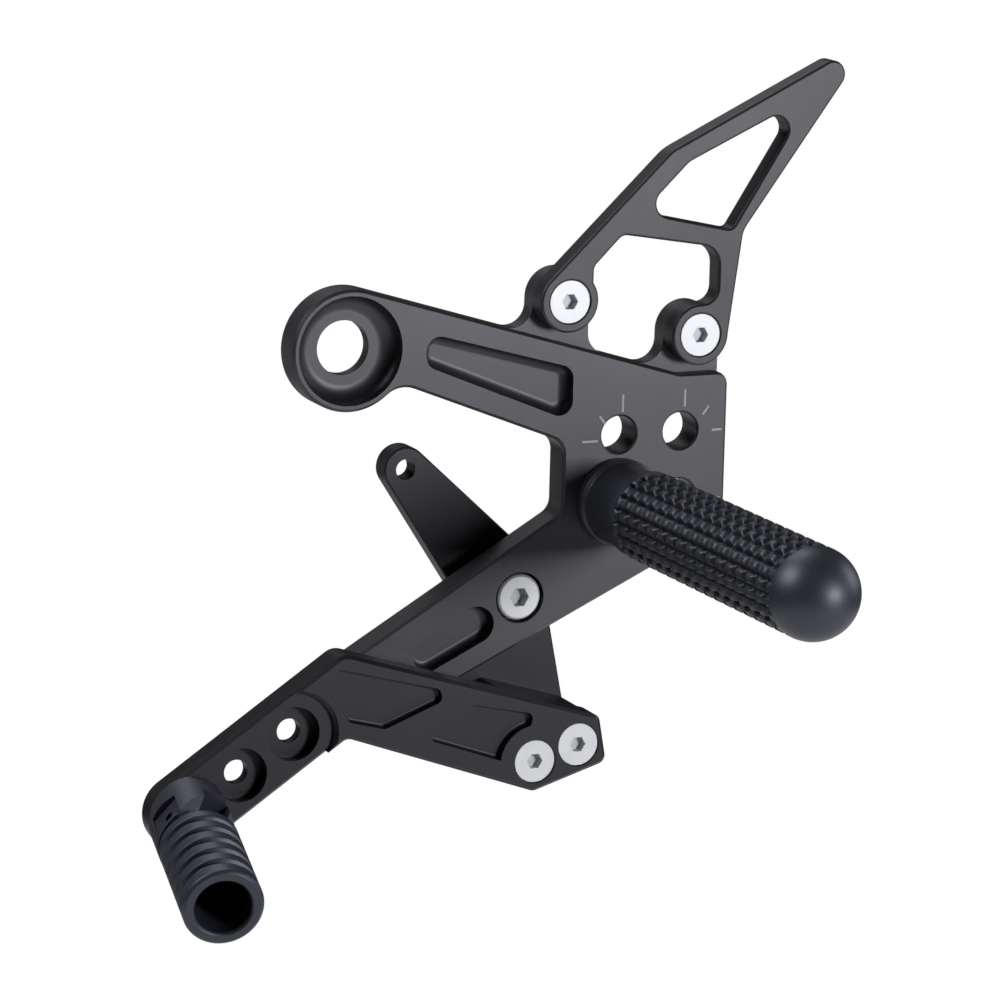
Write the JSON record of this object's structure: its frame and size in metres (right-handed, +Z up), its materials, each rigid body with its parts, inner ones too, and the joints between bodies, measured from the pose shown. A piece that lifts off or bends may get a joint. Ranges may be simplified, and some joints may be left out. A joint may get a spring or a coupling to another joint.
{
  "type": "rear sets footrest",
  "caption": "Shift-side motorbike rearset: black billet plate with frame eye and peg holes, heel guard, studded foot peg, and a bell crank with a pocketed lever and folding toe peg.",
  "frame": {"origin": "on the axis of the upper frame eye, on the plate's inboard mounting face", "axes": "+X to the rear of the bike, +Y inboard to its frame along the eye's axis, +Z up"},
  "size_m": [0.2163, 0.1681, 0.2207],
  "materials": {
    "black_plate": "satin black anodised",
    "black_guard": "satin black anodised",
    "black_lever": "satin black anodised",
    "black_peg": "satin black anodised",
    "zinc": "bright zinc plated",
    "bronze": "plain bearing bronze"
  },
  "bodies": {
    "plate": {"main_plate": "black_plate", "heel_guard": "black_guard", "heel_guard_screw_front": "zinc", "heel_guard_screw_rear": "zinc", "peg_spool": "black_peg", "foot_peg": "black_peg", "peg_washer": "zinc", "peg_bolt": "zinc", "lower_frame_bolt": "zinc", "pivot_bolt": "zinc", "pivot_sleeve": "zinc", "pivot_washer": "zinc", "pivot_nut": "zinc"},
    "lever": {"bell_crank": "black_lever", "pivot_bush_outer": "bronze", "pivot_bush_inner": "bronze", "shift_lever": "black_lever", "lever_screw_front": "zinc", "lever_screw_rear": "zinc", "toe_knuckle": "black_peg", "toe_screw": "zinc", "toe_pin": "zinc"},
    "toe": {"toe_peg": "black_peg"}
  },
  "joints": [
    {"name": "shift_pivot", "type": "hinge", "parent": "plate", "child": "lever", "pos_m": [0.0523, 0.00865, -0.0727], "axis": [0, 1, 0], "range_deg": [-12, 12]},
    {"name": "toe_fold", "type": "hinge", "parent": "lever", "child": "toe", "pos_m": [-0.05177, -0.03136, -0.12565], "axis": [-0.7986, 0, 0.6018], "range_deg": [0, 45], "stiffness_Nm_per_rad": 0.05, "springref_deg": -34.38}
  ]
}
